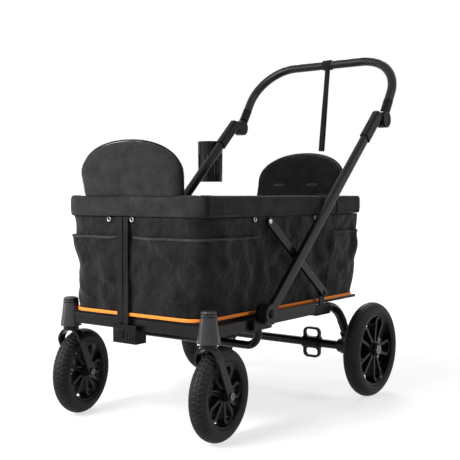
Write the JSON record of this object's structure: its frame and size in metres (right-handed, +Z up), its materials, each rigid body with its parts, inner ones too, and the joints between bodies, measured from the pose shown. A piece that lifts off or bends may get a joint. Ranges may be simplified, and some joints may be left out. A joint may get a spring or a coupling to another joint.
{
  "type": "stroller wagon",
  "caption": "Folding stroller wagon with a fabric tub, facing seats, swivel casters at the front, large rear wheels with a parking brake, and a handle that pushes or pulls.",
  "frame": {"origin": "on the floor, in the wagon's middle plane, halfway between the caster swivel axes and the rear axle", "axes": "+Z up, -Y forward, +X to the wagon's left"},
  "size_m": [0.7473, 1.104, 1.1187],
  "materials": {
    "frame_paint": "satin dark grey powder coat",
    "black_plastic": "fine moulded grain",
    "tower_plastic": "fine moulded grain, dark grey",
    "rim_plastic": "satin moulded wheel",
    "tyre_rubber": "matt tread rubber",
    "body_cloth": "coarse plain weave",
    "rim_cloth": "padded heather weave",
    "seat_cloth": "padded plain weave",
    "webbing": "ribbed webbing",
    "orange_piping": "bright woven tape",
    "grip_cover": "fine leathery grain",
    "bright_steel": "plated"
  },
  "bodies": {
    "frame": {"front_crossbar": "frame_paint", "rear_crossbar": "frame_paint", "caster_tower_left": "tower_plastic", "caster_tower_right": "tower_plastic", "side_tubes": "frame_paint", "fold_bracket_left": "black_plastic", "fold_bracket_right": "black_plastic", "rear_tubes": "frame_paint", "rear_bracket_left": "black_plastic", "rear_bracket_right": "black_plastic", "rear_leg_left": "frame_paint", "rear_leg_right": "frame_paint", "axle_tube": "frame_paint", "axle_rod": "bright_steel", "brake_housing_left": "black_plastic", "brake_housing_right": "black_plastic", "under_hoop": "frame_paint", "floor_board": "black_plastic", "seat_cushion_front": "seat_cloth", "seat_cushion_rear": "seat_cloth", "fabric_tub": "body_cloth", "piping": "orange_piping", "front_strap": "webbing", "strap_buckle": "black_plastic"},
    "rim": {"rim_rail": "frame_paint", "rim_pad": "rim_cloth", "rim_rings": "bright_steel", "seat_hinges": "black_plastic"},
    "struts": {"strut_left": "frame_paint", "strut_right": "frame_paint"},
    "front_uprights": {"front_uprights": "frame_paint"},
    "rear_uprights": {"rear_uprights": "frame_paint"},
    "front_back": {"seat_back_front": "seat_cloth"},
    "rear_back": {"seat_back_rear": "seat_cloth"},
    "handle_arms": {"arm_left": "frame_paint", "arm_right": "frame_paint", "tilt_hub_left": "black_plastic", "tilt_hub_right": "black_plastic", "cup_holder": "black_plastic"},
    "handle_bar": {"push_bar": "frame_paint", "push_grip": "grip_cover", "tilt_yokes": "black_plastic", "wrist_strap": "webbing"},
    "button_left": {"tilt_button_left": "black_plastic"},
    "button_right": {"tilt_button_right": "black_plastic"},
    "caster_left": {"fork_left": "frame_paint", "front_axle_left": "bright_steel"},
    "caster_right": {"fork_right": "frame_paint", "front_axle_right": "bright_steel"},
    "front_wheel_left": {"front_rim_left": "rim_plastic", "front_tyre_left": "tyre_rubber"},
    "front_wheel_right": {"front_rim_right": "rim_plastic", "front_tyre_right": "tyre_rubber"},
    "rear_wheel_left": {"rear_rim_left": "rim_plastic", "rear_tyre_left": "tyre_rubber"},
    "rear_wheel_right": {"rear_rim_right": "rim_plastic", "rear_tyre_right": "tyre_rubber"},
    "pedal": {"brake_pedal": "black_plastic"},
    "brake_pin_left": {"brake_pin_left": "bright_steel"},
    "brake_pin_right": {"brake_pin_right": "bright_steel"}
  },
  "joints": [
    {"name": "rim_fold", "type": "slide", "parent": "frame", "child": "rim", "axis": [0, 0, 1], "range_m": [-0.215, 0], "deforming": ["fabric_tub", "front_strap"]},
    {"name": "strut_fold", "type": "hinge", "parent": "frame", "child": "struts", "pos_m": [0, 0.1685, 0.34], "axis": [1, 0, 0], "range_deg": [0, 33.5]},
    {"name": "front_upright_fold", "type": "hinge", "parent": "frame", "child": "front_uprights", "pos_m": [0, -0.3045, 0.332], "axis": [1, 0, 0], "range_deg": [-79.5, 0]},
    {"name": "rear_upright_fold", "type": "hinge", "parent": "frame", "child": "rear_uprights", "pos_m": [0, 0.3715, 0.332], "axis": [1, 0, 0], "range_deg": [0, 79.5]},
    {"name": "front_back_fold", "type": "hinge", "parent": "rim", "child": "front_back", "pos_m": [0, -0.3525, 0.635], "axis": [-1, 0, 0], "range_deg": [0, 97]},
    {"name": "rear_back_fold", "type": "hinge", "parent": "rim", "child": "rear_back", "pos_m": [0, 0.4195, 0.635], "axis": [1, 0, 0], "range_deg": [0, 105]},
    {"name": "handle_swing", "type": "hinge", "parent": "frame", "child": "handle_arms", "pos_m": [0, -0.1515, 0.314], "axis": [1, 0, 0], "range_deg": [0, 94]},
    {"name": "bar_tilt", "type": "hinge", "parent": "handle_arms", "child": "handle_bar", "pos_m": [0, 0.50995, 0.88017], "axis": [1, 0, 0], "range_deg": [-50, 50]},
    {"name": "tilt_button_left_press", "type": "slide", "parent": "handle_bar", "child": "button_left", "axis": [-1, 0, 0], "range_m": [0, 0.003], "stiffness_N_per_m": 800},
    {"name": "tilt_button_right_press", "type": "slide", "parent": "handle_bar", "child": "button_right", "axis": [1, 0, 0], "range_m": [0, 0.003], "stiffness_N_per_m": 800},
    {"name": "caster_left_swivel", "type": "hinge", "parent": "frame", "child": "caster_left", "pos_m": [0.25, -0.3665, 0.262], "axis": [0, 0, 1], "continuous": true},
    {"name": "front_wheel_left_spin", "type": "hinge", "parent": "caster_left", "child": "front_wheel_left", "pos_m": [0.24564, -0.31669, 0.122], "axis": [0.9962, 0.0872, 0], "continuous": true},
    {"name": "rear_wheel_left_spin", "type": "hinge", "parent": "frame", "child": "rear_wheel_left", "pos_m": [0.322, 0.3665, 0.1475], "axis": [1, 0, 0], "continuous": true},
    {"name": "caster_right_swivel", "type": "hinge", "parent": "frame", "child": "caster_right", "pos_m": [-0.25, -0.3665, 0.262], "axis": [0, 0, 1], "continuous": true},
    {"name": "front_wheel_right_spin", "type": "hinge", "parent": "caster_right", "child": "front_wheel_right", "pos_m": [-0.2604, -0.31759, 0.122], "axis": [0.9781, 0.2079, 0], "continuous": true},
    {"name": "rear_wheel_right_spin", "type": "hinge", "parent": "frame", "child": "rear_wheel_right", "pos_m": [-0.322, 0.3665, 0.1475], "axis": [1, 0, 0], "continuous": true},
    {"name": "brake_press", "type": "hinge", "parent": "frame", "child": "pedal", "pos_m": [0.108, 0.3665, 0.1475], "axis": [1, 0, 0], "range_deg": [0, 18]},
    {"name": "brake_pin_left_slide", "type": "slide", "parent": "frame", "child": "brake_pin_left", "axis": [1, 0, 0], "range_m": [0, 0.009]},
    {"name": "brake_pin_right_slide", "type": "slide", "parent": "frame", "child": "brake_pin_right", "axis": [-1, 0, 0], "range_m": [0, 0.009]}
  ],
  "couplings": [
    {"joint": "strut_fold", "follows": "rim_fold", "rad_per_m": -2.6789},
    {"joint": "front_upright_fold", "follows": "rim_fold", "rad_per_m": 6.4131},
    {"joint": "rear_upright_fold", "follows": "rim_fold", "rad_per_m": -6.4131},
    {"joint": "brake_pin_left_slide", "follows": "brake_press", "m_per_rad": 0.025465},
    {"joint": "brake_pin_right_slide", "follows": "brake_press", "m_per_rad": 0.025465}
  ]
}
